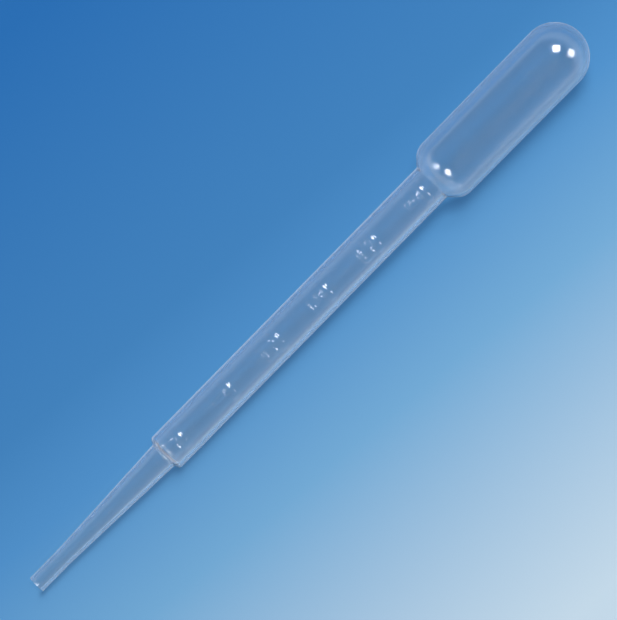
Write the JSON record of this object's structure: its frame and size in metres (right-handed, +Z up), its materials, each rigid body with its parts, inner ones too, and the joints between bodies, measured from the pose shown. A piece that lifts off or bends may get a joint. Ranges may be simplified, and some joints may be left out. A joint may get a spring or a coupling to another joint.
{
  "type": "dropper pipette",
  "caption": "Soft clear plastic dropper pipette: a hollow blown body with a slender open tip, a graduated stem with raised lines and figures, and a round-ended squeeze bulb.",
  "frame": {"origin": "on the surface that the pipette lies on, under the middle of its length and width", "axes": "+X runs along the pipette from the open tip towards the bulb, +Z is up from the surface, and the graduation lines face up"},
  "size_m": [0.155, 0.014, 0.0148],
  "materials": {
    "clear_polyethylene": "soft clear low-density polyethylene, slightly milky, smooth moulded gloss"
  },
  "bodies": {
    "root": {"pipette": "clear_polyethylene"}
  },
  "joints": []
}
